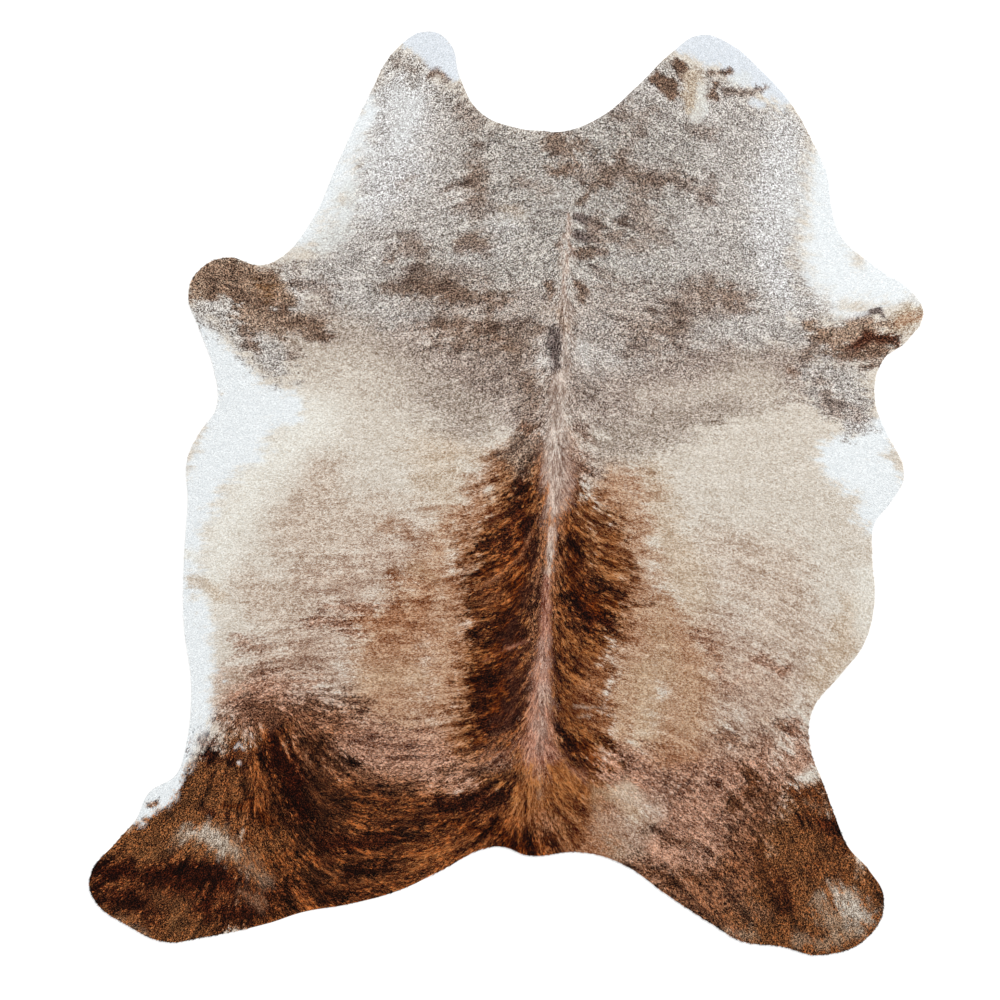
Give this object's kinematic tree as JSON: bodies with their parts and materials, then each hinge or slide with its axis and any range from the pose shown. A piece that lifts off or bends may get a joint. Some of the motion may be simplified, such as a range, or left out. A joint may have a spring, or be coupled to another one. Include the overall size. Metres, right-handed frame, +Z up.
{
  "type": "cowhide rug",
  "caption": "Whole hair-on cow hide laid flat as a rug: irregular animal outline with leg flaps, a hollow cut neck and short brindle hair on top.",
  "frame": {"origin": "middle of the hide's outline, on the floor under it", "axes": "+Z up out of the hair side, +Y from the rump towards the neck, +X to the right as seen from above"},
  "size_m": [1.921, 2.1282, 0.006],
  "materials": {
    "coat": "short flat cow hair in brindle browns, taupe, cream and white on chrome-tanned leather; plain pale suede below"
  },
  "bodies": {
    "root": {"hide": "coat"}
  },
  "joints": []
}
